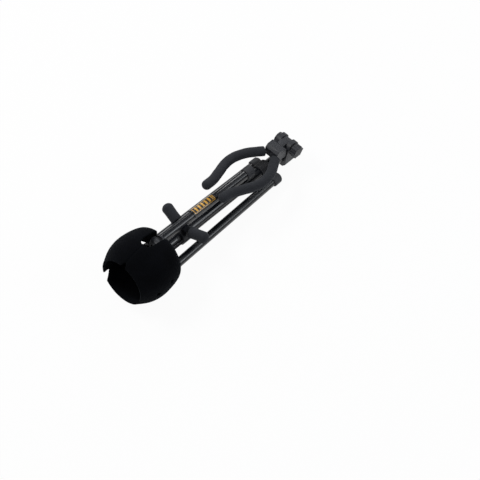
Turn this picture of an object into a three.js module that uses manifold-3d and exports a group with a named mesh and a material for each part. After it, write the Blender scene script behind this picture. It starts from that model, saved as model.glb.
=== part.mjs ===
// Folding in-bell stand for an alto saxophone, shown folded and lying on a surface.
//
// The stand is modelled along its column: +X runs from the bell cup to the head,
// +Z is the side of the front leg, the pegs and the yoke, +Y is the left-hand side.
// The whole is then rolled and pitched to the way it lies, with its origin under
// the middle of its box. All sizes are in millimetres.

import * as THREE from 'three';
import { mergeVertices } from 'three/addons/utils/BufferGeometryUtils.js';
import Module from 'manifold-3d';

const wasm = await Module();
wasm.setup();

// Clearances and overruns
const gap = 0.3;
const overrun = 2;

// How the folded stand lies
const lieRoll = THREE.MathUtils.degToRad(1.16);
const liePitch = THREE.MathUtils.degToRad(5.75);

// Column tube
const columnRadius = 8.2;
const columnWall = 1.2;
const columnStart = 0.6;
const columnEnd = 230;

// Hub casting and its leg hinges
const hubRadius = 16;
const hubBottom = -17;
const hubTop = -3;
const hubSpigotLength = 21;
const hingeX = -10;
const hingeRadius = 27;
const lugRadius = 5.8;
const lugThickness = 3;
const knuckleThickness = 7.4;
const legPinRadius = 2;
const legPinHeadRadius = 3.2;
const legPinHeadHeight = 1.2;

// Bell cup
const cupPlateTop = 0;
const cupWall = 2.4;
const cupShoulderRadius = 36;
const cupBellyRadius = 47;
const cupBellyX = -33;
const cupMouthX = -72;
const cupMouthRadius = 35;
const cupSlotWidth = 17;
const cupSlotEndX = -27;
const cupSlitWidth = 6;
const cupShoulderDepth = 7.2;
const cupShoulderBulge = 5.8;
const cupSides = 32;
const cupSteps = 7;
const cupColumnHoleRadius = 9;
const cupHoleRadius = 3;
const cupScrewCircle = 12.6;
const cupScrewHeadRadius = 2.5;
const cupScrewHeadHeight = 1.6;
const cupScrewShankRadius = 1.4;
const cupScrewLength = 9;

// Legs
const frontLegRadius = 6.6;
const sideLegRadius = 6.1;
const legWall = 1.1;
const frontLegEnd = 173;
const sideLegEnd = 212;
const frontFootRadius = 8.4;
const sideFootRadius = 8;
const frontFootDistance = 22;
const sideFootDistance = 20.5;
const footLength = 15;
const footBottomThickness = 3;
const footLipRadius = 1;
const footSoleRadius = 4.2;
const legTubeStart = 10;
const knucklePlugLength = 16;
const knuckleNeckWidth = 8;

// Label band on the front leg
const labelStart = 66;
const labelLength = 42;
const labelThickness = 0.6;
const labelArcDegrees = 150;

// Peg bracket and bell pegs
const pegBracketX = 41;
const pegBracketLength = 18;
const pegBracketWall = 3.4;
const pegBarHalfWidth = 9.5;
const pegBarHeight = 9;
const pegBarZ = 12.4;
const pegRodRadius = 2.5;
const pegRodRootY = 5;
const pegReachY = 39;
const pegLeanX = 5;
const pegRiseZ = 9;
const pegFoamRadius = 8;
const pegFoamStartY = 12;
const pegFoamEdge = 1;
const pegDomeDepth = 6.8;
const pegDomeSteps = 6;
const pegSides = 16;
const pegRodTipInset = 6;
const clampScrewRadius = 2;
const clampScrewHeadRadius = 3.4;

// Stay bar with its eye and rivet
const stayAngle = THREE.MathUtils.degToRad(-8);
const stayEyeX = 11;
const stayEyeRadius = 5;
const stayHoleRadius = 1.7;
const stayWidth = 5;
const stayThickness = 2;
const rivetHeadRadius = 3.1;
const rivetHeadHeight = 1.5;
const rivetCrownRadius = 1.6;
const rivetEdge = 0.3;

// Ribbed collar below the head
const collarStart = 189;
const collarLength = 17;
const collarRadius = 11.4;
const collarRibDepth = 0.9;
const collarRibs = 7;
const collarRibRise = 0.6;
const collarRibTop = 1.5;
const collarRibFall = 2.1;

// Head bracket and yoke hinge
const yokeHingeX = 242;
const yokeHingeZ = 19;
const headHalfWidth = 12;
const headForkHalfGap = 5.6;
const headBack = 253;
const headFoot = -18.5;
const headKeelHalfWidth = 3.5;
const headKeelTop = -8;
const headCheekRadius = 9.5;
const headSpigotLength = 18;
const headToeLength = 5;
const headHeelLength = 3;
const headHeelHeight = 4;
const headCrownInset = 2;
const headCheekMargin = 0.5;
const headCheekEnd = THREE.MathUtils.degToRad(169);
const forkFloorClearance = 1;
const bossRadius = 8.2;
const bossHeight = 3.5;
const socketRadius = 3;
const socketDepth = 2.6;
const socketSides = 6;
const boltRadius = 2.5;
const washerRadius = 6;
const washerThickness = 1.2;
const knobRadius = 8;
const knobLength = 9;
const knobLobes = 6;
const knobLobeRadius = 2;

// Yoke block
const yokeFront = 211;
const yokeRear = 229.4;
const yokeHalfWidth = 11;
const yokeBottom = 12;
const yokeTop = 32;
const yokeTongueRadius = 8.6;
const yokeSocketDepth = 9;
const yokeLowChamfer = 3;
const yokeNoseChamfer = 4;
const yokeBackChamfer = 5;
const yokeTongueStep = 0.4;

// Yoke arms, the left-hand one as points from inside the block to its tip
const armRodRadius = 2.4;
const armFoamRadius = 6.9;
const armPath = [
  [yokeFront + yokeSocketDepth - gap, 6.6, 22],
  [210, 8.8, 22],
  [199, 15.6, 23],
  [184, 23.5, 25],
  [164, 28, 28],
  [146, 26, 31.5],
  [129, 20.8, 34.6],
  [112, 16, 37.4],
  [99, 14.9, 39.4],
];
const armRodTipInset = 9;
const armFoamStartShare = 0.02;

// Smoothness of round parts
const roundSides = 24;
const footSides = 20;
const midSides = 16;
const smallSides = 12;
const rodSides = 10;
const sweepSides = 12;
const sweepSteps = 17;
const socketSteps = 8;
const arcSteps = 10;

const rubber = { color: 0x2b2c2f, roughness: 0.85, metalness: 0 };
const foam = { color: 0x4a4b50, roughness: 0.9, metalness: 0 };
const velvet = { color: 0x0b0b0f, roughness: 1, metalness: 0 };
const glossBlack = { color: 0x141519, roughness: 0.28, metalness: 0.2 };
const plastic = { color: 0x26272b, roughness: 0.55, metalness: 0 };
const steel = { color: 0xb8babd, roughness: 0.3, metalness: 1 };
const amber = { color: 0xe0a020, roughness: 0.5, metalness: 0 };

const turn = Math.PI * 2;
const quarter = Math.PI / 2;

// Geometry helpers

// Cylinder along X from one place to another
function rodX(from, to, radius, sides = roundSides) {
  const rod = new THREE.CylinderGeometry(radius, radius, to - from, sides);
  rod.rotateZ(-quarter);
  rod.translate((from + to) / 2, 0, 0);
  return rod;
}

// Cylinder along Y from one place to another
function rodY(from, to, radius, sides = smallSides) {
  const rod = new THREE.CylinderGeometry(radius, radius, Math.abs(to - from), sides);
  rod.translate(0, (from + to) / 2, 0);
  return rod;
}

// Cylinder along Z from one place to another
function rodZ(from, to, radius, sides = smallSides) {
  const rod = new THREE.CylinderGeometry(radius, radius, to - from, sides);
  rod.rotateX(quarter);
  rod.translate(0, 0, (from + to) / 2);
  return rod;
}

// Box by its lowest and highest corners
function boxBetween(low, high) {
  const box = new THREE.BoxGeometry(high[0] - low[0], high[1] - low[1], high[2] - low[2]);
  box.translate((low[0] + high[0]) / 2, (low[1] + high[1]) / 2, (low[2] + high[2]) / 2);
  return box;
}

// Body of revolution about X, its profile given as [x, radius] pairs
function revolveX(profile, sides = roundSides) {
  const points = profile.map(([x, radius]) => new THREE.Vector2(radius, x));
  const body = new THREE.LatheGeometry(points, sides);
  body.rotateZ(-quarter);
  return body;
}

// Closed solid of a geometry, facing outward
function solidOf(geometry) {
  const bare = geometry.clone();
  bare.deleteAttribute('normal');
  bare.deleteAttribute('uv');
  const merged = mergeVertices(bare, 1e-4);
  const triangles = Uint32Array.from(merged.index.array);
  const points = Float32Array.from(merged.attributes.position.array);
  if (signedVolume(points, triangles) < 0) {
    for (let i = 0; i < triangles.length; i += 3) {
      [triangles[i], triangles[i + 1]] = [triangles[i + 1], triangles[i]];
    }
  }
  return new wasm.Manifold(new wasm.Mesh({ numProp: 3, vertProperties: points, triVerts: triangles }));
}

function signedVolume(points, triangles) {
  const corner = (index) => new THREE.Vector3().fromArray(points, index * 3);
  let volume = 0;
  for (let i = 0; i < triangles.length; i += 3) {
    const a = corner(triangles[i]);
    const b = corner(triangles[i + 1]);
    const c = corner(triangles[i + 2]);
    volume += a.dot(b.cross(c));
  }
  return volume;
}

// Geometry of a closed solid
function geometryOf(solid) {
  const surface = solid.getMesh();
  const geometry = new THREE.BufferGeometry();
  const points = new Float32Array(surface.vertProperties);
  geometry.setAttribute('position', new THREE.BufferAttribute(points, 3));
  geometry.setIndex(new THREE.BufferAttribute(new Uint32Array(surface.triVerts), 1));
  geometry.computeVertexNormals();
  return geometry;
}

// Join some geometries, then cut others away
function shaped(joined, cut = []) {
  let solid = solidOf(joined[0]);
  for (const more of joined.slice(1)) {
    solid = solid.add(solidOf(more));
  }
  for (const less of cut) {
    solid = solid.subtract(solidOf(less));
  }
  return geometryOf(solid);
}

// Round bar along a curve
function sweepAlong(curve, radius, steps = sweepSteps, sides = sweepSides) {
  const section = new THREE.Shape();
  for (let i = 0; i < sides; i += 1) {
    const angle = turn * i / sides;
    const point = [radius * Math.cos(angle), radius * Math.sin(angle)];
    if (i === 0) {
      section.moveTo(...point);
    } else {
      section.lineTo(...point);
    }
  }
  section.closePath();
  return new THREE.ExtrudeGeometry(section, { steps, extrudePath: curve, bevelEnabled: false });
}

// Flat outline in the XZ plane, extruded along Y between two places
function plateXZ(outline, fromY, toY) {
  const plate = new THREE.ExtrudeGeometry(outline, {
    depth: toY - fromY,
    bevelEnabled: false,
    curveSegments: arcSteps,
  });
  plate.rotateX(quarter);
  plate.translate(0, toY, 0);
  return plate;
}

// Flat outline in the YZ plane, extruded along X between two places
function plateYZ(outline, fromX, toX) {
  const plate = new THREE.ExtrudeGeometry(outline, { depth: toX - fromX, bevelEnabled: false });
  plate.rotateZ(quarter);
  plate.rotateY(quarter);
  plate.translate(fromX, 0, 0);
  return plate;
}

function mesh(name, geometry, look) {
  const piece = new THREE.Mesh(geometry, new THREE.MeshStandardMaterial(look));
  piece.name = name;
  return piece;
}

// Turn a geometry about the column
function around(geometry, angle) {
  return geometry.rotateX(angle);
}

const stand = new THREE.Group();
stand.rotation.set(lieRoll, liePitch, 0, 'YXZ');

// The front leg is on +Z, the side legs are a third of a turn each way
const frontAngle = 0;
const rightAngle = turn / 3;
const leftAngle = -turn / 3;
const legAngles = [frontAngle, leftAngle, rightAngle];

// Hub: a disc with three pairs of lugs and a spigot for the column
function makeHub() {
  const lugCentre = knuckleThickness / 2 + gap + lugThickness / 2;
  const joined = [
    rodX(hubBottom, hubTop, hubRadius),
    rodX(hubTop - overrun, hubTop + hubSpigotLength, columnRadius - columnWall - gap),
  ];
  const cut = [];
  for (const angle of legAngles) {
    for (const side of [-1, 1]) {
      const from = side * lugCentre - lugThickness / 2;
      const to = side * lugCentre + lugThickness / 2;
      const arm = boxBetween(
        [hingeX - lugRadius, from, hubRadius / 2],
        [hingeX + lugRadius, to, hingeRadius],
      );
      const eye = rodY(from, to, lugRadius, midSides);
      eye.translate(hingeX, 0, hingeRadius);
      joined.push(around(arm, angle), around(eye, angle));
    }
    const slot = boxBetween(
      [hubBottom - overrun, -knuckleThickness / 2 - gap, hingeRadius - lugRadius - knuckleNeckWidth],
      [hubTop + overrun, knuckleThickness / 2 + gap, hingeRadius + lugRadius],
    );
    const bore = rodY(-2 * lugCentre, 2 * lugCentre, legPinRadius + gap);
    bore.translate(hingeX, 0, hingeRadius);
    cut.push(around(slot, angle), around(bore, angle));
  }
  for (let i = 0; i < legAngles.length; i += 1) {
    const bore = rodX(hubTop - cupScrewLength, hubTop + overrun, cupScrewShankRadius + gap, smallSides);
    bore.translate(0, 0, cupScrewCircle);
    cut.push(around(bore, legAngles[i] + turn / 6));
  }
  return shaped(joined, cut);
}

// Cup: a bulb open at its mouth, parted into three petals by the leg slots
function cupProfile(offset) {
  const outline = new THREE.CatmullRomCurve3([
    new THREE.Vector3(cupPlateTop - offset, cupShoulderRadius - offset, 0),
    new THREE.Vector3(cupPlateTop - cupShoulderDepth, cupShoulderRadius + cupShoulderBulge - offset, 0),
    new THREE.Vector3(cupBellyX, cupBellyRadius - offset, 0),
    new THREE.Vector3((cupBellyX + cupMouthX) / 2, cupBellyRadius - cupWall - offset, 0),
    new THREE.Vector3(cupMouthX, cupMouthRadius - offset, 0),
  ]);
  return outline.getPoints(cupSteps).map((point) => [point.x, point.y]);
}

function makeCup() {
  const outside = cupProfile(0);
  const inside = cupProfile(cupWall).reverse();
  const profile = [
    [cupPlateTop, cupColumnHoleRadius],
    ...outside,
    ...inside,
    [cupPlateTop - cupWall, cupColumnHoleRadius],
    [cupPlateTop, cupColumnHoleRadius],
  ];
  const cut = [];
  for (const angle of legAngles) {
    const slot = boxBetween(
      [cupSlotEndX, -cupSlotWidth / 2, hingeRadius - frontLegRadius - cupWall],
      [cupPlateTop + overrun, cupSlotWidth / 2, cupBellyRadius + overrun],
    );
    const slit = boxBetween(
      [cupMouthX - overrun, -cupSlitWidth / 2, cupMouthRadius / 2],
      [cupSlotEndX + overrun, cupSlitWidth / 2, cupBellyRadius + overrun],
    );
    const slotEnd = rodZ(hingeRadius, cupBellyRadius + overrun, cupSlotWidth / 2);
    slotEnd.translate(cupSlotEndX, 0, 0);
    cut.push(around(slot, angle), around(slit, angle), around(slotEnd, angle));
    for (const side of [-1, 1]) {
      const hole = rodZ(cupMouthRadius / 2, cupBellyRadius + overrun, cupHoleRadius);
      hole.translate((cupBellyX + cupMouthX) / 2, 0, 0);
      cut.push(around(hole, angle + side * turn / 9));
    }
    const screwHole = rodX(cupPlateTop - cupWall - overrun, cupPlateTop + overrun, cupScrewShankRadius + gap);
    screwHole.translate(0, 0, cupScrewCircle);
    cut.push(around(screwHole, angle + turn / 6));
  }
  return shaped([revolveX(profile, cupSides)], cut);
}

// Screws that hold the cup on the hub
function makeCupScrew() {
  return revolveX([
    [hubTop - cupScrewLength + gap, 0],
    [hubTop - cupScrewLength + gap, cupScrewShankRadius],
    [cupPlateTop + gap, cupScrewShankRadius],
    [cupPlateTop + gap, cupScrewHeadRadius],
    [cupPlateTop + gap + cupScrewHeadHeight / 2, cupScrewHeadRadius],
    [cupPlateTop + gap + cupScrewHeadHeight, cupScrewHeadRadius / 2],
    [cupPlateTop + gap + cupScrewHeadHeight, 0],
  ], smallSides);
}

// Hollow tube along X
function tubeX(from, to, radius, wall) {
  return revolveX([
    [from, radius - wall],
    [from, radius],
    [to, radius],
    [to, radius - wall],
    [from, radius - wall],
  ]);
}

// Leg pieces, made with the hinge at the origin and the leg along +X
function makeKnuckle(radius) {
  const plugRadius = radius - legWall - gap;
  const half = knuckleThickness / 2;
  const eye = rodY(-half, half, lugRadius, midSides);
  const neck = boxBetween(
    [0, -half, -knuckleNeckWidth / 2],
    [legTubeStart - gap, half, knuckleNeckWidth / 2],
  );
  const collar = rodX(legTubeStart - gap - cupWall, legTubeStart - gap, radius);
  const plug = rodX(legTubeStart - gap - overrun, legTubeStart + knucklePlugLength, plugRadius);
  const bore = rodY(-2 * half, 2 * half, legPinRadius + gap);
  return shaped([eye, neck, collar, plug], [bore]);
}

function makeFoot(tubeEnd, radius, footRadius) {
  const inner = radius + gap;
  const start = tubeEnd - footLength + footBottomThickness;
  const end = tubeEnd + footBottomThickness;
  const rounding = footBottomThickness;
  return revolveX([
    [start, inner],
    [start, footRadius - footLipRadius],
    [start + rounding / 2, footRadius],
    [end - rounding, footRadius],
    [end - footLipRadius, footRadius - rounding / 2],
    [end, footRadius - footSoleRadius],
    [end, 0],
    [tubeEnd + gap, 0],
    [tubeEnd + gap, inner],
    [start, inner],
  ], footSides);
}

function makeLegPin() {
  const reach = knuckleThickness / 2 + gap + lugThickness;
  const seat = reach + gap;
  return shaped([
    rodY(-seat - overrun / 4, seat + overrun / 4, legPinRadius),
    rodY(-seat - legPinHeadHeight, -seat, legPinHeadRadius),
    rodY(seat, seat + legPinHeadHeight, legPinHeadRadius),
  ]);
}

function addLeg(name, angle, radius, endX, footDistance, footRadius) {
  const length = endX - hingeX;
  const lean = Math.atan((hingeRadius - footDistance) / length);
  const tubeEnd = length - footBottomThickness;
  const spoke = new THREE.Group();
  spoke.rotation.x = angle;
  const leg = new THREE.Group();
  leg.position.set(hingeX, 0, hingeRadius);
  leg.rotation.y = lean;
  leg.add(mesh(`${name}_leg_tube`, tubeX(legTubeStart, tubeEnd, radius, legWall), glossBlack));
  leg.add(mesh(`${name}_leg_knuckle`, makeKnuckle(radius), plastic));
  leg.add(mesh(`${name}_leg_foot`, makeFoot(tubeEnd, radius, footRadius), rubber));
  if (name === 'front') {
    leg.add(mesh('label_band', makeLabel(radius), amber));
  }
  const pin = mesh(`${name}_leg_pin`, makeLegPin(), steel);
  pin.position.set(hingeX, 0, hingeRadius);
  spoke.add(leg, pin);
  stand.add(spoke);
}

// Plain band wrapped part way round the front leg
function makeLabel(radius) {
  const band = tubeX(labelStart, labelStart + labelLength, radius + gap + labelThickness, labelThickness);
  const half = THREE.MathUtils.degToRad(labelArcDegrees) / 2;
  const floor = (radius + gap) * Math.cos(half);
  const below = boxBetween(
    [labelStart - overrun, -2 * radius, -2 * radius],
    [labelStart + labelLength + overrun, 2 * radius, floor],
  );
  return shaped([band], [below]);
}

// Peg bracket: a clamp ring on the column with a cross bar
const pegBracketStart = pegBracketX - pegBracketLength / 2;
const pegBracketEnd = pegBracketX + pegBracketLength / 2;

function pegPoint(side, y) {
  const share = (y - pegRodRootY) / (pegReachY - pegRodRootY);
  return new THREE.Vector3(pegBracketX + pegLeanX * share, side * y, pegBarZ + pegRiseZ * share);
}

function along(geometryAlongX, from, to) {
  const direction = to.clone().sub(from).normalize();
  const place = new THREE.Quaternion().setFromUnitVectors(new THREE.Vector3(1, 0, 0), direction);
  geometryAlongX.applyQuaternion(place);
  geometryAlongX.translate(from.x, from.y, from.z);
  return geometryAlongX;
}

function makePegBracket() {
  const ring = tubeX(pegBracketStart, pegBracketEnd, columnRadius + pegBracketWall + gap, pegBracketWall);
  const bar = boxBetween(
    [pegBracketX - pegBarHeight / 2, -pegBarHalfWidth, pegBarZ - pegBarHeight / 2],
    [pegBracketX + pegBarHeight / 2, pegBarHalfWidth, pegBarZ + pegBarHeight / 2],
  );
  const bore = rodX(pegBracketStart - overrun, pegBracketEnd + overrun, columnRadius + gap);
  const cut = [bore];
  for (const side of [-1, 1]) {
    const from = pegPoint(side, pegRodRootY);
    const to = pegPoint(side, pegReachY);
    cut.push(along(rodX(0, pegReachY, pegRodRadius + gap, smallSides), from, to));
  }
  const screwHole = rodZ(-2 * columnRadius - overrun, -columnRadius, clampScrewRadius + gap);
  screwHole.translate(pegBracketX, 0, 0);
  cut.push(screwHole);
  return shaped([ring, bar], cut);
}

function makePegRod(side) {
  const from = pegPoint(side, pegRodRootY);
  const to = pegPoint(side, pegReachY - pegRodTipInset);
  return along(rodX(gap, from.distanceTo(to), pegRodRadius, smallSides), from, to);
}

function makePegFoam(side) {
  const from = pegPoint(side, pegFoamStartY);
  const to = pegPoint(side, pegReachY);
  const rodEnd = pegPoint(side, pegReachY - pegRodTipInset);
  const length = from.distanceTo(to);
  const depth = from.distanceTo(rodEnd) + gap;
  const inner = pegRodRadius + gap;
  const dome = [];
  for (let i = 0; i <= pegDomeSteps; i += 1) {
    const angle = quarter * i / pegDomeSteps;
    const back = length - pegDomeDepth;
    dome.push([back + pegDomeDepth * Math.sin(angle), pegFoamRadius * Math.cos(angle)]);
  }
  dome[dome.length - 1][1] = 0;
  const profile = [
    [0, inner],
    [0, pegFoamRadius - pegFoamEdge / 2],
    [pegFoamEdge, pegFoamRadius],
    ...dome,
    [depth, 0],
    [depth, inner],
    [0, inner],
  ];
  return along(revolveX(profile, pegSides), from, to);
}

function makeClampScrew() {
  const seat = columnRadius + gap + pegBracketWall + gap;
  const screw = shaped([
    rodZ(-seat - overrun / 4, -columnRadius - gap, clampScrewRadius),
    rodZ(-seat - clampScrewRadius, -seat, clampScrewHeadRadius),
  ]);
  screw.translate(pegBracketX, 0, 0);
  return screw;
}

// Stay bar: a flat bar along the column, riveted at its eye
function makeStayBar() {
  const low = columnRadius + gap;
  const eye = rodZ(low, low + stayThickness, stayEyeRadius, midSides);
  eye.translate(stayEyeX, 0, 0);
  const bar = boxBetween(
    [stayEyeX, -stayWidth / 2, low],
    [pegBracketStart - gap, stayWidth / 2, low + stayThickness],
  );
  const hole = rodZ(low - overrun, low + 2 * stayThickness, stayHoleRadius + gap);
  hole.translate(stayEyeX, 0, 0);
  return around(shaped([eye, bar], [hole]), stayAngle + quarter);
}

function makeStayRivet() {
  const seat = columnRadius + gap + stayThickness + gap;
  const head = revolveX([
    [columnRadius + gap, 0],
    [columnRadius + gap, stayHoleRadius],
    [seat, stayHoleRadius],
    [seat, rivetHeadRadius],
    [seat + rivetHeadHeight / 2, rivetHeadRadius - rivetEdge],
    [seat + rivetHeadHeight, rivetCrownRadius],
    [seat + rivetHeadHeight, 0],
  ], midSides);
  head.rotateY(-quarter);
  head.translate(stayEyeX, 0, 0);
  return around(head, stayAngle + quarter);
}

// Ribbed collar round the column
function makeCollar() {
  const inner = columnRadius + gap;
  const profile = [[collarStart, inner], [collarStart, collarRadius - collarRibDepth]];
  const pitch = collarLength / collarRibs;
  for (let i = 0; i < collarRibs; i += 1) {
    const start = collarStart + i * pitch;
    profile.push([start + collarRibRise, collarRadius]);
    profile.push([start + collarRibTop, collarRadius]);
    profile.push([start + collarRibFall, collarRadius - collarRibDepth]);
  }
  profile.push([collarStart + collarLength, collarRadius - collarRibDepth]);
  profile.push([collarStart + collarLength, inner]);
  profile.push([collarStart, inner]);
  return revolveX(profile, midSides);
}

// Head bracket: a fork for the yoke, with a spigot in the column
const bossEnd = headHalfWidth + bossHeight;

function makeHeadBracket() {
  const outline = new THREE.Shape();
  const front = columnEnd + gap;
  outline.moveTo(front, headFoot + headToeLength);
  outline.lineTo(front + headToeLength, headFoot);
  outline.lineTo(headBack - headHeelLength, headFoot);
  outline.lineTo(headBack, headFoot + headHeelHeight);
  outline.lineTo(headBack, yokeHingeZ);
  const crownX = yokeHingeX + headCrownInset;
  outline.absarc(crownX, yokeHingeZ, headBack - crownX, 0, quarter, false);
  const cheekRadius = headCheekRadius + headCheekMargin;
  outline.absarc(yokeHingeX, yokeHingeZ, cheekRadius, quarter, headCheekEnd, false);
  outline.lineTo(front, columnRadius);
  outline.closePath();
  const body = plateXZ(outline, -headHalfWidth, headHalfWidth);
  const spigot = rodX(columnEnd - headSpigotLength, front + overrun, columnRadius - columnWall - gap);
  const boss = rodY(bossEnd, headHalfWidth - overrun, bossRadius, roundSides);
  boss.translate(yokeHingeX, 0, yokeHingeZ);
  const fork = boxBetween(
    [front - overrun, -headForkHalfGap, yokeHingeZ - yokeTongueRadius - forkFloorClearance],
    [headBack + overrun, headForkHalfGap, yokeHingeZ + 3 * yokeTongueRadius],
  );
  const bore = rodY(bossEnd - socketDepth - overrun, -2 * headHalfWidth, boltRadius + gap);
  bore.translate(yokeHingeX, 0, yokeHingeZ);
  const socket = rodY(bossEnd - socketDepth, bossEnd + overrun, socketRadius, socketSides);
  socket.translate(yokeHingeX, 0, yokeHingeZ);
  const cut = [fork, bore, socket];
  for (const side of [-1, 1]) {
    const taper = new THREE.Shape();
    taper.moveTo(side * headKeelHalfWidth, headFoot);
    taper.lineTo(side * headHalfWidth, headKeelTop);
    taper.lineTo(side * (headHalfWidth + overrun), headKeelTop);
    taper.lineTo(side * (headHalfWidth + overrun), headFoot - overrun);
    taper.lineTo(side * headKeelHalfWidth, headFoot - overrun);
    taper.closePath();
    cut.push(plateYZ(taper, front - overrun, headBack + overrun));
  }
  return shaped([body, spigot, boss], cut);
}

// Bolt of the yoke hinge, from inside the boss to the knob
const knobStart = -headHalfWidth - gap - washerThickness - gap;

function makeYokeBolt() {
  const start = bossEnd - socketDepth - overrun - gap;
  const bolt = rodY(start, knobStart - knobLength / 2, boltRadius);
  bolt.translate(yokeHingeX, 0, yokeHingeZ);
  return bolt;
}

function makeWasher() {
  const face = -headHalfWidth - gap;
  const washer = shaped(
    [rodY(face, face - washerThickness, washerRadius, midSides)],
    [rodY(face + overrun, face - 2 * overrun, boltRadius + gap)],
  );
  washer.translate(yokeHingeX, 0, yokeHingeZ);
  return washer;
}

function makeKnob() {
  const joined = [rodY(knobStart, knobStart - knobLength, knobRadius, roundSides)];
  for (let i = 0; i < knobLobes; i += 1) {
    const angle = turn * i / knobLobes;
    const lobe = rodY(knobStart - gap, knobStart - knobLength + gap, knobLobeRadius);
    lobe.translate(knobRadius * Math.cos(angle), 0, knobRadius * Math.sin(angle));
    joined.push(lobe);
  }
  const bore = rodY(knobStart + overrun, knobStart - knobLength / 2 - gap, boltRadius + gap);
  const knob = shaped(joined, [bore]);
  knob.translate(yokeHingeX, 0, yokeHingeZ);
  return knob;
}

// Yoke arm: the left-hand one is on +Y
function armCurve(side) {
  return new THREE.CatmullRomCurve3(armPath.map(([x, y, z]) => new THREE.Vector3(x, side * y, z)));
}

// Part of a curve between two shares of its length
class CurvePart extends THREE.Curve {
  constructor(whole, from, to) {
    super();
    this.whole = whole;
    this.from = from;
    this.to = to;
  }

  getPoint(share, target = new THREE.Vector3()) {
    return this.whole.getPointAt(this.from + (this.to - this.from) * share, target);
  }
}

function makeArmRod(side) {
  const curve = armCurve(side);
  const endShare = 1 - armRodTipInset / curve.getLength();
  return sweepAlong(new CurvePart(curve, 0, endShare), armRodRadius, sweepSteps, rodSides);
}

function makeArmFoam(side) {
  const curve = armCurve(side);
  const startShare = (yokeSocketDepth + gap) / curve.getLength() + armFoamStartShare;
  const boreEnd = 1 - (armRodTipInset - gap) / curve.getLength();
  const skin = sweepAlong(new CurvePart(curve, startShare, 1), armFoamRadius);
  const tip = new THREE.SphereGeometry(armFoamRadius, sweepSides, arcSteps);
  const end = curve.getPointAt(1);
  tip.translate(end.x, end.y, end.z);
  const bore = sweepAlong(new CurvePart(curve, 0, boreEnd), armRodRadius + gap, sweepSteps, rodSides);
  return shaped([skin, tip], [bore]);
}

function makeYokeBlock() {
  const outline = new THREE.Shape();
  outline.moveTo(yokeFront, yokeBottom + yokeLowChamfer);
  outline.lineTo(yokeFront + yokeLowChamfer, yokeBottom);
  outline.lineTo(yokeRear, yokeBottom);
  outline.lineTo(yokeRear, yokeTop - yokeBackChamfer);
  outline.lineTo(yokeRear - yokeBackChamfer, yokeTop);
  outline.lineTo(yokeFront + yokeNoseChamfer, yokeTop);
  outline.lineTo(yokeFront, yokeTop - yokeNoseChamfer);
  outline.closePath();
  const block = plateXZ(outline, -yokeHalfWidth, yokeHalfWidth);
  const half = headForkHalfGap - gap;
  const tongue = new THREE.Shape();
  tongue.moveTo(yokeRear - overrun, yokeBottom + yokeTongueStep);
  tongue.lineTo(yokeHingeX, yokeHingeZ - yokeTongueRadius);
  tongue.absarc(yokeHingeX, yokeHingeZ, yokeTongueRadius, -quarter, quarter, false);
  tongue.lineTo(yokeRear - overrun, yokeHingeZ + yokeTongueRadius);
  tongue.closePath();
  const cut = [];
  const bore = rodY(-2 * half, 2 * half, boltRadius + gap);
  bore.translate(yokeHingeX, 0, yokeHingeZ);
  cut.push(bore);
  for (const side of [-1, 1]) {
    const curve = armCurve(side);
    const share = 2 * yokeSocketDepth / curve.getLength();
    cut.push(sweepAlong(new CurvePart(curve, 0, share), armRodRadius + gap, socketSteps, sweepSides));
  }
  return shaped([block, plateXZ(tongue, -half, half)], cut);
}

// Assembly
stand.add(mesh('column_tube', tubeX(columnStart, columnEnd, columnRadius, columnWall), glossBlack));
stand.add(mesh('hub', makeHub(), plastic));
stand.add(mesh('bell_cup', makeCup(), velvet));
legAngles.forEach((angle, i) => {
  const screw = mesh(`cup_screw_${i + 1}`, makeCupScrew(), steel);
  screw.geometry.translate(0, 0, cupScrewCircle);
  screw.rotation.x = angle + turn / 6;
  stand.add(screw);
});
addLeg('front', frontAngle, frontLegRadius, frontLegEnd, frontFootDistance, frontFootRadius);
addLeg('left', leftAngle, sideLegRadius, sideLegEnd, sideFootDistance, sideFootRadius);
addLeg('right', rightAngle, sideLegRadius, sideLegEnd, sideFootDistance, sideFootRadius);
stand.add(mesh('peg_bracket', makePegBracket(), plastic));
stand.add(mesh('peg_clamp_screw', makeClampScrew(), steel));
for (const [name, side] of [['left', 1], ['right', -1]]) {
  stand.add(mesh(`${name}_peg_rod`, makePegRod(side), steel));
  stand.add(mesh(`${name}_peg_foam`, makePegFoam(side), foam));
  stand.add(mesh(`${name}_arm_rod`, makeArmRod(side), steel));
  stand.add(mesh(`${name}_arm_foam`, makeArmFoam(side), foam));
}
stand.add(mesh('stay_bar', makeStayBar(), steel));
stand.add(mesh('stay_rivet', makeStayRivet(), steel));
stand.add(mesh('ribbed_collar', makeCollar(), rubber));
stand.add(mesh('head_bracket', makeHeadBracket(), plastic));
stand.add(mesh('yoke_block', makeYokeBlock(), plastic));
stand.add(mesh('yoke_bolt', makeYokeBolt(), steel));
stand.add(mesh('knob_washer', makeWasher(), steel));
stand.add(mesh('clamp_knob', makeKnob(), plastic));

// Set the stand down with its origin under the middle of its box
const part = new THREE.Group();
part.add(stand);
part.updateMatrixWorld(true);
const bounds = new THREE.Box3().setFromObject(part, true);
stand.position.set(
  -(bounds.min.x + bounds.max.x) / 2,
  -(bounds.min.y + bounds.max.y) / 2,
  -bounds.min.z,
);

export default part;
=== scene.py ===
import bmesh
import bpy
import math
from mathutils import Matrix, Vector, noise


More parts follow.
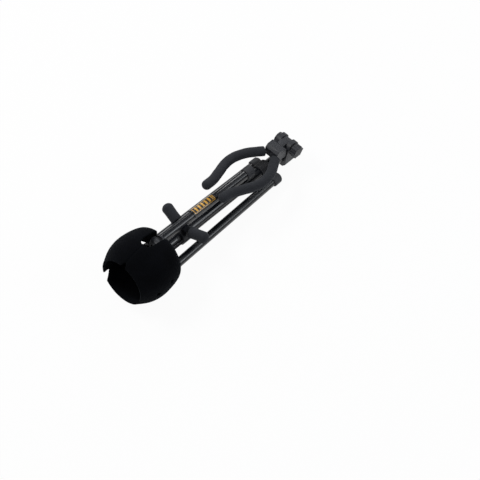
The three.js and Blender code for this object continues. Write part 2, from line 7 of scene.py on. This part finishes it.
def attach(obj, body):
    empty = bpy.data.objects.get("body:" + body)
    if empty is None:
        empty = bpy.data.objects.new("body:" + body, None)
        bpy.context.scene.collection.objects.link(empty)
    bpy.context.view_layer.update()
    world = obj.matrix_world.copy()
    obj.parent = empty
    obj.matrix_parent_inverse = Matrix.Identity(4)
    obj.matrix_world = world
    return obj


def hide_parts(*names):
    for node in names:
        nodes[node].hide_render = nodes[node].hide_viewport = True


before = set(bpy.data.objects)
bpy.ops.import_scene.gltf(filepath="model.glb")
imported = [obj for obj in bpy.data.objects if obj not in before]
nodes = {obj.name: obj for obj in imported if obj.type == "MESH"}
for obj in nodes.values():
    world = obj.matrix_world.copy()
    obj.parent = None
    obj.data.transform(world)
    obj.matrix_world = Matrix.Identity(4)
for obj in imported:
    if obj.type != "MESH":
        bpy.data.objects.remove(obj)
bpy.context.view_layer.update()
scene = bpy.context.scene

# The stand's own axes, in millimetres: +X from the cup to the head, +Z on the front
# leg's side, +Y on the left. STAND takes them to the row frame, in metres.
LIE_ROLL = math.radians(1.16)
LIE_PITCH = math.radians(5.75)
STAND_PLACE = (-89.277045, 0.0, 43.520719)
STAND = (
    Matrix.Scale(0.001, 4)
    @ Matrix.Translation(STAND_PLACE)
    @ Matrix.Rotation(LIE_PITCH, 4, "Y")
    @ Matrix.Rotation(LIE_ROLL, 4, "X")
)

# Camera at the photograph's angle
ELEVATION = math.radians(57)
AZIMUTH = math.radians(43)
PIXELS_PER_MM = 0.745
ORIGIN_PIXEL = (208.5, 227.5)
LENS, SENSOR = 140, 36
IMAGE_SIDE = 480


def make_camera():
    away = Vector((math.cos(AZIMUTH), math.sin(AZIMUTH), 0))
    right = Vector((math.sin(AZIMUTH), -math.cos(AZIMUTH), 0))
    up = Vector((0, 0, 1))
    image_up = up * math.cos(ELEVATION) + away * math.sin(ELEVATION)
    look = away * math.cos(ELEVATION) - up * math.sin(ELEVATION)
    side = (IMAGE_SIDE / 2 - ORIGIN_PIXEL[0]) / PIXELS_PER_MM / 1000
    drop = (IMAGE_SIDE / 2 - ORIGIN_PIXEL[1]) / PIXELS_PER_MM / 1000
    centre = right * side - image_up * drop
    width = IMAGE_SIDE / PIXELS_PER_MM / 1000
    data = bpy.data.cameras.new("camera")
    data.lens = LENS
    data.sensor_width = SENSOR
    camera = bpy.data.objects.new("camera", data)
    scene.collection.objects.link(camera)
    camera.location = centre - look * (width * LENS / SENSOR)
    turned = Matrix((right, image_up, -look)).transposed()
    camera.rotation_euler = turned.to_euler()
    scene.camera = camera


make_camera()


# Materials: each is a procedural node tree in the object's own coordinates
class Tree:
    def __init__(self, name):
        self.material = bpy.data.materials.new(name)
        self.material.use_nodes = True
        self.nodes = self.material.node_tree.nodes
        self.links = self.material.node_tree.links
        self.shader = self.nodes["Principled BSDF"]
        self.place = self.nodes.new("ShaderNodeTexCoord").outputs["Object"]

    def noise(self, scale, detail=3.0, roughness=0.55, stretch=None):
        node = self.nodes.new("ShaderNodeTexNoise")
        node.inputs["Scale"].default_value = scale
        node.inputs["Detail"].default_value = detail
        node.inputs["Roughness"].default_value = roughness
        if stretch:
            mapping = self.nodes.new("ShaderNodeMapping")
            mapping.inputs["Scale"].default_value = stretch
            self.links.new(self.place, mapping.inputs["Vector"])
            self.links.new(mapping.outputs["Vector"], node.inputs["Vector"])
        else:
            self.links.new(self.place, node.inputs["Vector"])
        return node.outputs["Fac"]

    def cells(self, scale):
        node = self.nodes.new("ShaderNodeTexVoronoi")
        node.inputs["Scale"].default_value = scale
        self.links.new(self.place, node.inputs["Vector"])
        return node.outputs["Distance"]

    def ramp(self, value, stops):
        node = self.nodes.new("ShaderNodeValToRGB")
        ramp = node.color_ramp
        while len(ramp.elements) < len(stops):
            ramp.elements.new(0.5)
        for element, (at, colour) in zip(ramp.elements, stops):
            element.position = at
            element.color = (*colour, 1) if len(colour) == 3 else colour
        self.links.new(value, node.inputs["Fac"])
        return node.outputs["Color"]

    def span(self, value, low, high, start=0.3, end=0.7):
        node = self.nodes.new("ShaderNodeMapRange")
        node.inputs["From Min"].default_value = start
        node.inputs["From Max"].default_value = end
        node.inputs["To Min"].default_value = low
        node.inputs["To Max"].default_value = high
        self.links.new(value, node.inputs["Value"])
        return node.outputs["Result"]

    def math(self, operation, a, b):
        node = self.nodes.new("ShaderNodeMath")
        node.operation = operation
        for socket, value in zip(node.inputs, (a, b)):
            if isinstance(value, (int, float)):
                socket.default_value = value
            else:
                self.links.new(value, socket)
        return node.outputs["Value"]

    def edges(self):
        node = self.nodes.new("ShaderNodeNewGeometry")
        return node.outputs["Pointiness"]

    def mix(self, factor, a, b):
        node = self.nodes.new("ShaderNodeMix")
        node.data_type = "RGBA"
        self.links.new(factor, node.inputs["Factor"])
        for socket, value in ((node.inputs["A"], a), (node.inputs["B"], b)):
            if isinstance(value, tuple):
                socket.default_value = (*value, 1)
            else:
                self.links.new(value, socket)
        return node.outputs["Result"]

    def bump(self, height, strength, distance):
        node = self.nodes.new("ShaderNodeBump")
        node.inputs["Strength"].default_value = strength
        node.inputs["Distance"].default_value = distance
        self.links.new(height, node.inputs["Height"])
        self.links.new(node.outputs["Normal"], self.shader.inputs["Normal"])

    def set(self, **values):
        for name, value in values.items():
            socket = self.shader.inputs[name.replace("_", " ")]
            if isinstance(value, (int, float, tuple)):
                socket.default_value = value
            else:
                self.links.new(value, socket)


def shades(low, high):
    return [(0.3, low), (0.7, high)]


def make_black_paint():
    tree = Tree("gloss_black_powder_coat")
    orange_peel = tree.noise(900, 2)
    smudges = tree.noise(38, 4)
    colour = tree.ramp(smudges, shades((0.003, 0.0037, 0.0056), (0.0052, 0.0064, 0.0094)))
    tree.set(
        Base_Color=colour,
        Roughness=tree.span(smudges, 0.2, 0.32),
        Metallic=0.0,
        Specular_IOR_Level=0.42,
        Coat_Weight=0.2,
        Coat_Roughness=0.1,
    )
    tree.bump(orange_peel, 0.05, 0.0002)
    return tree.material


def make_foam():
    tree = Tree("charcoal_foam")
    pores = tree.cells(1500)
    fine = tree.noise(2600, 2)
    patches = tree.noise(45, 4, 0.6)
    height = tree.math("ADD", tree.math("MULTIPLY", pores, 0.7), tree.math("MULTIPLY", fine, 0.5))
    colour = tree.ramp(patches, shades((0.0115, 0.013, 0.0165), (0.019, 0.021, 0.026)))
    # painted shade: the colour goes near black down in the pores, the same cells that the bump
    # below sinks into hollows
    pore_shade = tree.ramp(pores, [(0.0, (0.006, 0.0065, 0.008)), (0.28, (0.0175, 0.019, 0.0235))])
    tree.set(
        # the fine noise mixes in part of the painted pore shade
        Base_Color=tree.mix(tree.span(fine, 0.15, 0.5), colour, pore_shade),
        Roughness=tree.span(fine, 0.82, 0.95),
        Specular_IOR_Level=0.3,
        Sheen_Weight=0.1,
        Sheen_Roughness=0.5,
        Sheen_Tint=(0.55, 0.57, 0.62, 1),
    )
    tree.bump(height, 0.55, 0.0006)
    return tree.material


def make_velvet():
    tree = Tree("black_velvet_flock")
    nap = tree.noise(1900, 3)
    brushed = tree.noise(34, 4, 0.6, (1, 1, 2.2))
    colour = tree.ramp(brushed, shades((0.0005, 0.0007, 0.0012), (0.0018, 0.0022, 0.0034)))
    tree.set(
        Base_Color=colour,
        Roughness=1.0,
        Specular_IOR_Level=0.08,
        Sheen_Weight=0.06,
        Sheen_Roughness=0.38,
        Sheen_Tint=(0.26, 0.33, 0.42, 1),
    )
    tree.bump(nap, 0.6, 0.0005)
    return tree.material


def make_plastic():
    tree = Tree("satin_black_plastic")
    grain = tree.noise(1300, 3)
    mould = tree.noise(60, 3)
    worn = tree.span(tree.edges(), 0, 1, 0.505, 0.56)
    colour = tree.ramp(mould, shades((0.0045, 0.005, 0.0075), (0.0075, 0.0085, 0.012)))
    tree.set(
        Base_Color=tree.mix(worn, colour, (0.025, 0.027, 0.033)),
        Roughness=tree.span(mould, 0.42, 0.56),
        Specular_IOR_Level=0.36,
    )
    tree.bump(grain, 0.3, 0.0003)
    return tree.material


def make_rubber():
    tree = Tree("moulded_rubber")
    grain = tree.noise(1700, 3)
    dust = tree.noise(70, 5, 0.65)
    worn = tree.span(tree.edges(), 0, 1, 0.505, 0.57)
    colour = tree.ramp(dust, shades((0.008, 0.0085, 0.011), (0.014, 0.015, 0.018)))
    tree.set(
        Base_Color=tree.mix(worn, colour, (0.03, 0.031, 0.035)),
        Roughness=tree.span(dust, 0.6, 0.78),
        Specular_IOR_Level=0.4,
    )
    tree.bump(grain, 0.4, 0.0003)
    return tree.material


def make_steel():
    tree = Tree("zinc_plated_steel")
    spangle = tree.noise(240, 4)
    brushed = tree.noise(900, 2, 0.5, (0.1, 1, 1))
    tree.set(
        Base_Color=tree.ramp(spangle, shades((0.5, 0.51, 0.53), (0.68, 0.69, 0.71))),
        Metallic=1.0,
        Roughness=tree.span(spangle, 0.22, 0.38),
    )
    tree.bump(brushed, 0.2, 0.0001)
    return tree.material


def make_black_steel():
    tree = Tree("black_zinc_steel")
    spangle = tree.noise(240, 4)
    tree.set(
        Base_Color=tree.ramp(spangle, shades((0.045, 0.046, 0.05), (0.085, 0.086, 0.092))),
        Metallic=1.0,
        Roughness=tree.span(spangle, 0.28, 0.42),
    )
    tree.bump(spangle, 0.1, 0.0001)
    return tree.material


def make_label(name, low, high, roughness):
    tree = Tree(name)
    print_grain = tree.noise(700, 3)
    tree.set(
        Base_Color=tree.ramp(print_grain, shades(low, high)),
        Roughness=roughness,
        Coat_Weight=0.5,
        Coat_Roughness=0.2,
    )
    tree.bump(print_grain, 0.08, 0.0001)
    return tree.material


black_paint = make_black_paint()
foam = make_foam()
velvet = make_velvet()
plastic = make_plastic()
rubber = make_rubber()
steel = make_steel()
black_steel = make_black_steel()
label_black = make_label("label_black_film", (0.006, 0.006, 0.007), (0.01, 0.01, 0.011), 0.4)
label_amber = make_label("label_amber_ink", (0.56, 0.29, 0.035), (0.72, 0.4, 0.06), 0.45)


# Lamps, floor and world
FLOOR_SIZE, FLOOR_DROP, FLOOR_GREY = 12, 0.0004, 0.82
FLOOR_WHITE_SHARE = 0.95   # the rest of the floor's colour keeps a faint shadow
WORLD_COLOUR, WORLD_STRENGTH = (0.94, 0.96, 1, 1), 0.3


def area_lamp(name, place, target, size, power, colour=(1, 1, 1)):
    data = bpy.data.lights.new(name, "AREA")
    data.shape = "RECTANGLE"
    data.size, data.size_y = size
    data.energy = power
    data.color = colour
    lamp = bpy.data.objects.new(name, data)
    scene.collection.objects.link(lamp)
    lamp.location = place
    lamp.rotation_euler = (Vector(target) - Vector(place)).to_track_quat("-Z", "Y").to_euler()


def background_ray(tree_nodes, tree_links):
    """1 for rays that see the background: camera, glossy and transmission rays."""
    path = tree_nodes.new("ShaderNodeLightPath")
    total = path.outputs["Is Camera Ray"]
    for name in ("Is Glossy Ray", "Is Transmission Ray"):
        add = tree_nodes.new("ShaderNodeMath")
        add.operation = "MAXIMUM"
        tree_links.new(total, add.inputs[0])
        tree_links.new(path.outputs[name], add.inputs[1])
        total = add.outputs["Value"]
    return total


def make_stage():
    bpy.ops.mesh.primitive_plane_add(size=FLOOR_SIZE, location=(0, 0, -FLOOR_DROP))
    floor = bpy.context.active_object
    floor.name = "floor"
    material = bpy.data.materials.new("pale_floor")
    material.use_nodes = True
    tree_nodes, tree_links = material.node_tree.nodes, material.node_tree.links
    tree_nodes.clear()
    out = tree_nodes.new("ShaderNodeOutputMaterial")
    matte = tree_nodes.new("ShaderNodeBsdfDiffuse")
    matte.inputs["Color"].default_value = (FLOOR_GREY, FLOOR_GREY, FLOOR_GREY, 1)
    white = tree_nodes.new("ShaderNodeEmission")
    white.inputs["Color"].default_value = (1, 1, 1, 1)
    blend = tree_nodes.new("ShaderNodeMixShader")
    share = tree_nodes.new("ShaderNodeMath")
    share.operation = "MULTIPLY"
    share.inputs[1].default_value = FLOOR_WHITE_SHARE
    tree_links.new(background_ray(tree_nodes, tree_links), share.inputs[0])
    tree_links.new(share.outputs["Value"], blend.inputs["Fac"])
    tree_links.new(matte.outputs["BSDF"], blend.inputs[1])
    tree_links.new(white.outputs["Emission"], blend.inputs[2])
    tree_links.new(blend.outputs["Shader"], out.inputs["Surface"])
    floor.data.materials.append(material)

    world = bpy.data.worlds.new("studio")
    scene.world = world
    world.use_nodes = True
    tree_nodes, tree_links = world.node_tree.nodes, world.node_tree.links
    tree_nodes.clear()
    out = tree_nodes.new("ShaderNodeOutputWorld")
    ground = tree_nodes.new("ShaderNodeBackground")
    ground.inputs["Color"].default_value = WORLD_COLOUR
    ground.inputs["Strength"].default_value = WORLD_STRENGTH
    white = tree_nodes.new("ShaderNodeBackground")
    white.inputs["Color"].default_value = (1, 1, 1, 1)
    blend = tree_nodes.new("ShaderNodeMixShader")
    path = tree_nodes.new("ShaderNodeLightPath")
    tree_links.new(path.outputs["Is Camera Ray"], blend.inputs["Fac"])
    tree_links.new(ground.outputs["Background"], blend.inputs[1])
    tree_links.new(white.outputs["Background"], blend.inputs[2])
    tree_links.new(blend.outputs["Shader"], out.inputs["Surface"])


make_stage()
area_lamp("key", (-0.5, 0.9, 1.5), (0, 0, 0), (0.8, 0.5), 19, (1, 0.99, 0.97))
area_lamp("fill", (0.9, -1.1, 1.1), (0, 0, 0), (1.2, 0.5), 9, (0.92, 0.96, 1))
area_lamp("rim", (1.2, 0.9, 0.8), (0, 0, 0), (0.5, 0.5), 6)
scene.view_settings.view_transform = "Standard"


# Mesh helpers
def placed(name, mesh, body, material, matrix=STAND):
    """A new piece from a mesh in millimetres, riding on a body."""
    mesh.transform(matrix)
    mesh.name = name
    piece = bpy.data.objects.new(name, mesh)
    scene.collection.objects.link(piece)
    if material is not None:
        mesh.materials.clear()
        mesh.materials.append(material)
    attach(piece, body)
    return piece


def smooth(mesh, angle=40):
    mesh.polygons.foreach_set("use_smooth", [True] * len(mesh.polygons))
    mesh.set_sharp_from_angle(angle=math.radians(angle))


def roughen(mesh, depth, scale, seed):
    """Uneven surface: each point moves along its normal by noise, at most depth."""
    normals = [vertex.normal.copy() for vertex in mesh.vertices]
    for vertex, normal in zip(mesh.vertices, normals):
        wave = noise.noise(vertex.co * scale + Vector((seed, 0, 0)))
        vertex.co = vertex.co + normal * depth * wave


def grid_mesh(rings):
    """A tube skin through rings of points; the first and last rings may be single points."""
    mesh = bmesh.new()
    rows = [[mesh.verts.new(p) for p in ring] for ring in rings]
    for low, high in zip(rows, rows[1:]):
        count = max(len(low), len(high))
        for i in range(count):
            j = (i + 1) % count
            if len(low) == 1:
                mesh.faces.new((low[0], high[j], high[i]))
            elif len(high) == 1:
                mesh.faces.new((low[i], low[j], high[0]))
            else:
                mesh.faces.new((low[i], low[j], high[j], high[i]))
    bmesh.ops.recalc_face_normals(mesh, faces=mesh.faces)
    data = bpy.data.meshes.new("grid")
    mesh.to_mesh(data)
    mesh.free()
    return data


def revolve(profile, sides, axis_start, direction):
    """Skin of revolution: the profile is (along, radius) pairs, radius 0 closes an end."""
    turned = Vector((1, 0, 0)).rotation_difference(direction).to_matrix()
    rings = []
    for along, radius in profile:
        if radius < 1e-6:
            rings.append([axis_start + turned @ Vector((along, 0, 0))])
            continue
        ring = []
        for i in range(sides):
            a = math.tau * i / sides
            out = Vector((along, radius * math.cos(a), radius * math.sin(a)))
            ring.append(axis_start + turned @ out)
        rings.append(ring)
    return grid_mesh(rings)


def spline(points, count):
    """Centripetal Catmull-Rom curve through the points, evenly spaced along its length."""
    knots = [Vector(p) for p in points]
    knots = [knots[0] * 2 - knots[1], *knots, knots[-1] * 2 - knots[-2]]
    dense = []
    for p0, p1, p2, p3 in zip(knots, knots[1:], knots[2:], knots[3:]):
        t0 = 0.0
        t1 = t0 + (p1 - p0).length ** 0.5
        t2 = t1 + (p2 - p1).length ** 0.5
        t3 = t2 + (p3 - p2).length ** 0.5
        for k in range(40):
            t = t1 + (t2 - t1) * k / 40
            a1 = p0.lerp(p1, (t - t0) / (t1 - t0))
            a2 = p1.lerp(p2, (t - t1) / (t2 - t1))
            a3 = p2.lerp(p3, (t - t2) / (t3 - t2))
            b1 = a1.lerp(a2, (t - t0) / (t2 - t0))
            b2 = a2.lerp(a3, (t - t1) / (t3 - t1))
            dense.append(b1.lerp(b2, (t - t1) / (t2 - t1)))
    dense.append(knots[-2])
    lengths = [0.0]
    for a, b in zip(dense, dense[1:]):
        lengths.append(lengths[-1] + (b - a).length)
    total, even, at = lengths[-1], [], 0
    for i in range(count):
        want = total * i / (count - 1)
        while at < len(lengths) - 2 and lengths[at + 1] < want:
            at += 1
        share = (want - lengths[at]) / max(lengths[at + 1] - lengths[at], 1e-9)
        even.append(dense[at].lerp(dense[at + 1], min(share, 1)))
    return even, total


def frames_along(points):
    """Tangent and two sides at each point, without twist."""
    tangents = []
    for i in range(len(points)):
        tangents.append((points[min(i + 1, len(points) - 1)] - points[max(i - 1, 0)]).normalized())
    side = tangents[0].cross(Vector((0, 0, 1))).normalized()
    result = []
    for tangent in tangents:
        side = (side - tangent * side.dot(tangent)).normalized()
        result.append((tangent, side, tangent.cross(side)))
    return result


# Foam sleeves of the yoke arms
ARM_PATH = [
    (219.7, 6.6, 22), (210, 8.8, 22), (199, 15.6, 23), (184, 23.5, 25), (164, 28, 28),
    (146, 26, 31.5), (129, 20.8, 34.6), (112, 16, 37.4), (99, 14.9, 39.4),
]
ARM_RADIUS = 6.9
ARM_ROD_RADIUS = 2.4
ARM_SOCKET = 9.3
ARM_STEPS, ARM_SIDES, ARM_DOME_STEPS = 150, 40, 8


def foam_ring(centre, sides_at, radius, seed, rough=0.12):
    """A ring of points round a centre, uneven by at most rough; sides_at is from frames_along."""
    side, rise = sides_at[1:]
    ring = []
    for i in range(ARM_SIDES):
        a = math.tau * i / ARM_SIDES
        out = side * math.cos(a) + rise * math.sin(a)
        point = centre + out * radius
        ring.append(point + out * rough * noise.noise(point * 0.16 + Vector((seed, 0, 0))))
    return ring


def arm_foam(name, side):
    points, length = spline([(x, side * y, z) for x, y, z in ARM_PATH], ARM_STEPS)
    first = ARM_SOCKET + 0.02 * length
    start = next(i for i in range(ARM_STEPS) if length * i / (ARM_STEPS - 1) >= first)
    points = points[start:]
    around = frames_along(points)
    rings = []
    rim = points[0]
    for inset, proud in ((5, 0.3), (1.4, 0.5), (0.25, 1.1)):
        centre = rim + around[0][0] * inset
        rings.append(foam_ring(centre, around[0], ARM_ROD_RADIUS + proud, side, 0))
    for inset, radius in (
        (0.0, ARM_ROD_RADIUS + 2.0), (0.0, ARM_RADIUS - 1.0), (0.3, ARM_RADIUS - 0.35),
    ):
        rings.append(foam_ring(rim + around[0][0] * inset, around[0], radius, side, 0.03))
    for i, point in enumerate(points[1:], 1):
        swell = 0.16 * noise.noise(Vector((i * 0.11, side * 4.0, 0)))
        rings.append(foam_ring(point, around[i], ARM_RADIUS - 0.06 + swell, side))
    tip, at = points[-1], around[-1]
    for step in range(1, ARM_DOME_STEPS + 1):
        a = math.radians(90) * step / (ARM_DOME_STEPS + 1)
        centre = tip + at[0] * ARM_RADIUS * math.sin(a)
        rings.append(foam_ring(centre, at, ARM_RADIUS * math.cos(a), side, 0.1))
    rings.append([tip + at[0] * ARM_RADIUS * 0.99])
    mesh = grid_mesh(rings)
    smooth(mesh, 50)
    piece = placed(name, mesh, "yoke", foam)
    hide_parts(name.replace("_sleeve", "_foam"))


arm_foam("left_arm_sleeve", 1)
arm_foam("right_arm_sleeve", -1)

# Foam sleeves of the bell pegs
PEG_X, PEG_ROOT_Y, PEG_REACH_Y, PEG_LEAN_X = 41, 5, 39, 5
PEG_BAR_Z, PEG_RISE_Z, PEG_FOAM_START, PEG_RADIUS = 12.4, 9, 12, 8
PEG_DOME, PEG_SIDES, PEG_DOME_STEPS = 6.8, 44, 10
PEG_RIM = [   # distance from the sleeve's open end, and radius
    (5, 2.8), (1.2, 3.0), (0.2, 3.6), (0, 4.4), (0, PEG_RADIUS - 1.1), (0.35, PEG_RADIUS - 0.3),
]


def peg_point(side, y):
    share = (y - PEG_ROOT_Y) / (PEG_REACH_Y - PEG_ROOT_Y)
    return Vector((PEG_X + PEG_LEAN_X * share, side * y, PEG_BAR_Z + PEG_RISE_Z * share))


def peg_foam(name, side):
    start, end = peg_point(side, PEG_FOAM_START), peg_point(side, PEG_REACH_Y)
    length = (end - start).length
    profile = list(PEG_RIM)
    body_end = length - PEG_DOME
    for i in range(22):
        along = 1.2 + (body_end - 1.2) * i / 21
        profile.append((along, PEG_RADIUS - 0.05 - 0.28 * math.sin(math.pi * i / 21)))
    for step in range(1, PEG_DOME_STEPS + 1):
        a = math.radians(90) * step / PEG_DOME_STEPS
        profile.append((body_end + PEG_DOME * math.sin(a), PEG_RADIUS * math.cos(a)))
    mesh = revolve(profile, PEG_SIDES, start, (end - start).normalized())
    roughen(mesh, 0.14, 0.2, side * 3)
    smooth(mesh, 50)
    piece = placed(name, mesh, "frame", foam)
    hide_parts(name.replace("_sleeve", "_foam"))


peg_foam("left_peg_sleeve", 1)
peg_foam("right_peg_sleeve", -1)

# Velvet bell cup
CUP_WALL = 2.4
CUP_MOUTH = -72
CUP_OUTLINE = [(0, 36), (-7.2, 41.8), (-33, 47), (-52.5, 44.6), (-72, 35)]
CUP_SLOT_END, CUP_SLOT_WIDTH = -27, 17
CUP_SEAM_WIDTH, CUP_SEAM_DEPTH = 2.6, 0.75
CUP_NOTCHES = {0: (6, 8), -120: (13, 13), 120: (13, 13)}   # depth and width at each leg
CUP_HOLES = ((-27, 84), (-49.5, 93), (-27, -84), (-49.5, -93))   # x, and angle about X
CUP_HOLE_RADIUS = 2.8
CUP_SCREW_CIRCLE, CUP_SCREW_HOLE = 12.6, 1.9
CUP_PLATE = (9, 35)   # radii of the plate on the hub
CUP_SIDES, CUP_VOXEL = 420, 0.7
CUP_CORE = 18   # openings lie farther than this from the axis, on their own side
LEG_ANGLES = (0, -120, 120)


def in_opening(point):
    """Whether a point of the cup's shell lies in a leg slot, a notch, or a hole or screw hole."""
    for degrees in LEG_ANGLES:
        x, y, z = Matrix.Rotation(-math.radians(degrees), 3, "X") @ point
        if z > CUP_CORE and x > CUP_SLOT_END and abs(y) < CUP_SLOT_WIDTH / 2:
            return True
        if z > CUP_CORE and math.hypot(x - CUP_SLOT_END, y) < CUP_SLOT_WIDTH / 2:
            return True
        depth, width = CUP_NOTCHES[degrees]
        reach = (x - CUP_MOUTH) / depth
        if z > CUP_CORE and reach < 1 and abs(y) < width / 2 * (1 - reach) ** 0.6:
            return True
        to_screw = Matrix.Rotation(math.radians(degrees + 60), 3, "X")
        screw = to_screw @ Vector((0, 0, CUP_SCREW_CIRCLE))
        if x > -4 and (Vector((0, point.y, point.z)) - screw).length < CUP_SCREW_HOLE:
            return True
    for hole_x, degrees in CUP_HOLES:
        x, y, z = Matrix.Rotation(-math.radians(degrees), 3, "X") @ point
        if z > CUP_CORE and math.hypot(x - hole_x, y) < CUP_HOLE_RADIUS:
            return True
    return False


def press_seams(mesh):
    """Grooves along the petals' meeting lines, on both faces of the cup."""
    normals = [vertex.normal.copy() for vertex in mesh.vertices]
    turns = [Matrix.Rotation(-math.radians(degrees), 3, "X") for degrees in LEG_ANGLES]
    for vertex, normal in zip(mesh.vertices, normals):
        for turn in turns:
            x, y, z = turn @ vertex.co
            share = abs(y) / (CUP_SEAM_WIDTH / 2)
            if z > CUP_CORE and x < CUP_SLOT_END and share < 1:
                vertex.co = vertex.co - normal * CUP_SEAM_DEPTH * (1 - share * share)
                break


def make_cup():
    outline, _ = spline([(x, r, 0) for x, r in CUP_OUTLINE], 110)
    half = CUP_WALL / 2
    low_radius, high_radius = CUP_PLATE
    profile = [(-half, low_radius + (high_radius - low_radius) * i / 32) for i in range(32)]
    profile += [(min(p.x, -half), p.y - half) for p in outline[1:]]
    turns = [math.tau * i / CUP_SIDES for i in range(CUP_SIDES)]
    mesh = bmesh.new()
    rows = []
    for x, r in profile:
        rows.append([mesh.verts.new((x, r * math.cos(a), r * math.sin(a))) for a in turns])
    for low, high in zip(rows, rows[1:]):
        for i in range(CUP_SIDES):
            j = (i + 1) % CUP_SIDES
            centre = (low[i].co + high[j].co) / 2
            if not in_opening(centre):
                mesh.faces.new((low[i], low[j], high[j], high[i]))
    bmesh.ops.delete(mesh, geom=[v for v in mesh.verts if not v.link_faces], context="VERTS")
    data = bpy.data.meshes.new("bell_cup_velvet")
    mesh.to_mesh(data)
    mesh.free()
    cup = bpy.data.objects.new("temporary", data)
    scene.collection.objects.link(cup)
    shell = cup.modifiers.new("shell", "SOLIDIFY")
    shell.thickness = CUP_WALL
    shell.offset = 0
    remesh = cup.modifiers.new("remesh", "REMESH")
    remesh.mode = "VOXEL"
    remesh.voxel_size = CUP_VOXEL
    relax = cup.modifiers.new("relax", "SMOOTH")
    relax.factor = 0.5
    relax.iterations = 5
    bpy.context.view_layer.objects.active = cup
    for modifier in list(cup.modifiers):
        bpy.ops.object.modifier_apply(modifier=modifier.name)
    mesh = cup.data
    press_seams(mesh)
    roughen(mesh, 0.1, 0.11, 0)
    mesh.polygons.foreach_set("use_smooth", [True] * len(mesh.polygons))
    bpy.data.objects.remove(cup)
    piece = placed("bell_cup_velvet", mesh, "frame", velvet)
    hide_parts("bell_cup")


make_cup()

# Label on the front leg: a dark film with a plain amber frame and bars
FRONT_HINGE = (-10, 0, 27)
FRONT_FOOT_X, FRONT_FOOT_Z = 173, 22
FRONT_LEAN = math.atan((FRONT_HINGE[2] - FRONT_FOOT_Z) / (FRONT_FOOT_X - FRONT_HINGE[0]))
FRONT_LEG = STAND @ Matrix.Translation(FRONT_HINGE) @ Matrix.Rotation(FRONT_LEAN, 4, "Y")
LABEL_START, LABEL_LENGTH, LABEL_RADIUS, LABEL_ARC, LABEL_THICKNESS = 66, 42, 6.98, 150, 0.5


def make_label_band():
    along_steps, arc_steps = 84, 60
    rings = []
    for thick in (0.0, LABEL_THICKNESS):
        rows = []
        for i in range(along_steps + 1):
            row = []
            for j in range(arc_steps + 1):
                a = math.radians(LABEL_ARC * (j / arc_steps - 0.5))
                r = LABEL_RADIUS + thick
                x = LABEL_START + LABEL_LENGTH * i / along_steps
                row.append((x, -r * math.sin(a), r * math.cos(a)))
            rows.append(row)
        rings.append(rows)
    mesh = bmesh.new()
    skins = [[[mesh.verts.new(p) for p in row] for row in rows] for rows in rings]
    for level, skin in enumerate(skins):
        for i in range(along_steps):
            for j in range(arc_steps):
                face = mesh.faces.new(
                    (skin[i][j], skin[i + 1][j], skin[i + 1][j + 1], skin[i][j + 1])
                )
                edge_i = min(i, along_steps - 1 - i) / 2
                edge_j = min(j, arc_steps - 1 - j)
                framed = 2 <= edge_i < 3 and edge_j >= 14 or 14 <= edge_j < 16 and edge_i >= 2
                barred = edge_i >= 4.5 and edge_j >= 19 and (i // 6) % 2 == 0
                face.material_index = 1 if level == 1 and (framed or barred) else 0
    low, high = skins
    for i in range(along_steps):
        mesh.faces.new((low[i][0], high[i][0], high[i + 1][0], low[i + 1][0]))
        mesh.faces.new((low[i][-1], low[i + 1][-1], high[i + 1][-1], high[i][-1]))
    for j in range(arc_steps):
        mesh.faces.new((low[0][j], low[0][j + 1], high[0][j + 1], high[0][j]))
        mesh.faces.new((low[-1][j], high[-1][j], high[-1][j + 1], low[-1][j + 1]))
    bmesh.ops.recalc_face_normals(mesh, faces=mesh.faces)
    data = bpy.data.meshes.new("label_film")
    mesh.to_mesh(data)
    mesh.free()
    smooth(data, 40)
    piece = placed("label_film", data, "front_leg", None, FRONT_LEG)
    piece.data.materials.append(label_black)
    piece.data.materials.append(label_amber)
    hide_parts("label_band")


make_label_band()

# CAD nodes that stay: softened edges, smooth rounds and finished materials
FINISH = {
    "column_tube": (black_paint, 0.25),
    "hub": (plastic, 0.5),
    "peg_bracket": (plastic, 0.8),
    "ribbed_collar": (rubber, 0.15),
    "head_bracket": (plastic, 0.8),
    "yoke_block": (plastic, 0.9),
    "clamp_knob": (plastic, 0.5),
    "stay_bar": (black_steel, 0.3),
    "stay_rivet": (steel, 0.1),
    "yoke_bolt": (steel, 0.2),
    "knob_washer": (steel, 0.2),
    "peg_clamp_screw": (black_steel, 0.3),
}


def finish_node(node, material, bevel):
    """A CAD node's own material, its doubled points merged and its edges rounded, in mm."""
    piece = nodes[node]
    piece.data.materials.clear()
    piece.data.materials.append(material)
    weld = piece.modifiers.new("weld", "WELD")
    weld.merge_threshold = 0.00001
    edge = piece.modifiers.new("edge", "BEVEL")
    edge.width = bevel / 1000
    edge.segments = 2
    edge.limit_method = "ANGLE"
    edge.angle_limit = math.radians(38)


for node in nodes:
    if nodes[node].hide_render:
        continue
    if node in FINISH:
        finish_node(node, *FINISH[node])
    elif node.endswith("_leg_tube"):
        finish_node(node, black_paint, 0.25)
    elif node.endswith("_leg_foot"):
        finish_node(node, rubber, 0.3)
    elif node.endswith("_knuckle"):
        finish_node(node, plastic, 0.4)
    elif node.endswith("_arm_rod") or node.endswith("_peg_rod"):
        finish_node(node, black_steel, 0.1)
    else:
        finish_node(node, steel, 0.15)
